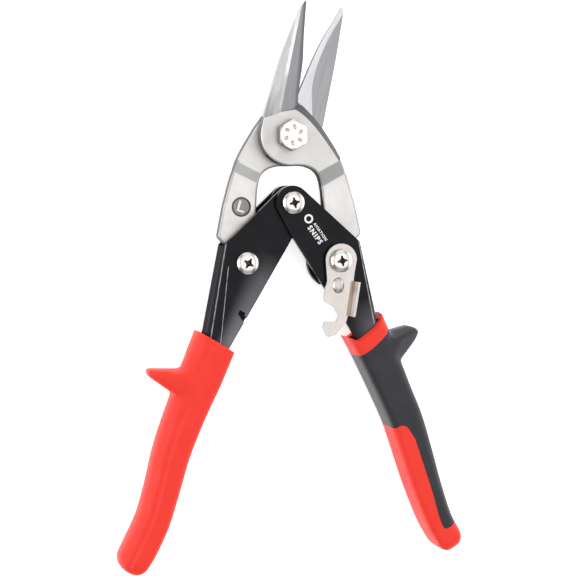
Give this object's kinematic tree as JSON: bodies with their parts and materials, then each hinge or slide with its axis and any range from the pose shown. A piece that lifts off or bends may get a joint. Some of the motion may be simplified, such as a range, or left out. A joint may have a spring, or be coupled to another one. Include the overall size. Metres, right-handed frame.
{
  "type": "aviation snips",
  "caption": "Left-cutting aviation snips with compound leverage: two sprung pressed-steel handles in moulded grips drive two forged blades, and a thumb latch holds them shut.",
  "frame": {"origin": "the middle of the bounding box's base, on the plane the tool lies on", "axes": "+Y runs from the grips to the blade tips, +Z points out of the face that carries the pivot heads and latch, +X completes the right-handed set"},
  "size_m": [0.1562, 0.2456, 0.0246],
  "materials": {
    "blade_steel": "forged steel, blasted tangs and ground cutting faces",
    "nickel": "bright nickel plating",
    "steel": "plain steel",
    "black_paint": "glossy black paint",
    "red_grip": "satin moulded plastic",
    "dark_grip": "matt soft moulding",
    "nylon": "white nylon"
  },
  "bodies": {
    "right_handle": {"right_handle": "black_paint", "right_grip": "red_grip", "right_grip_overmold": "dark_grip", "top_pivot_screw": "nickel", "top_pivot_bushing": "steel", "top_pivot_nut": "nickel", "handle_spring": "steel", "right_pivot_screw": "nickel", "right_pivot_bushing": "steel", "right_washer_front": "steel", "right_washer_back": "steel", "right_pivot_nut": "nickel", "latch_washer": "steel"},
    "left_handle": {"left_handle": "black_paint", "left_grip": "red_grip", "left_pivot_screw": "nickel", "left_pivot_bushing": "steel", "left_washer_front": "steel", "left_washer_back": "steel", "left_pivot_nut": "nickel"},
    "front_blade": {"front_blade": "blade_steel", "pivot_bolt": "nickel", "pivot_washer": "steel", "pivot_nut": "nickel", "pivot_nut_insert": "nylon"},
    "rear_blade": {"rear_blade": "blade_steel"},
    "latch": {"latch": "nickel"}
  },
  "joints": [
    {"name": "handle_squeeze", "type": "hinge", "parent": "right_handle", "child": "left_handle", "pos_m": [0.001, 0.03606, 0.0112], "axis": [0, 0, 1], "range_deg": [0, 35.6], "stiffness_Nm_per_rad": 0.6, "springref_deg": -22.92, "deforming": ["handle_spring"]},
    {"name": "front_tang_turn", "type": "hinge", "parent": "right_handle", "child": "front_blade", "pos_m": [0.0214, 0.01037, 0.0112], "axis": [0, 0, 1], "range_deg": [0, 8.85]},
    {"name": "blade_turn", "type": "hinge", "parent": "front_blade", "child": "rear_blade", "pos_m": [0.001, 0.0652, 0.0112], "axis": [0, 0, 1], "range_deg": [0, 18.05]},
    {"name": "latch_swing", "type": "hinge", "parent": "right_handle", "child": "latch", "pos_m": [0.0214, 0.01037, 0.0112], "axis": [0, 0, -1], "range_deg": [0, 12]}
  ],
  "couplings": [
    {"joint": "front_tang_turn", "follows": "handle_squeeze", "ratio": 0.24719},
    {"joint": "blade_turn", "follows": "handle_squeeze", "ratio": 0.50562}
  ]
}
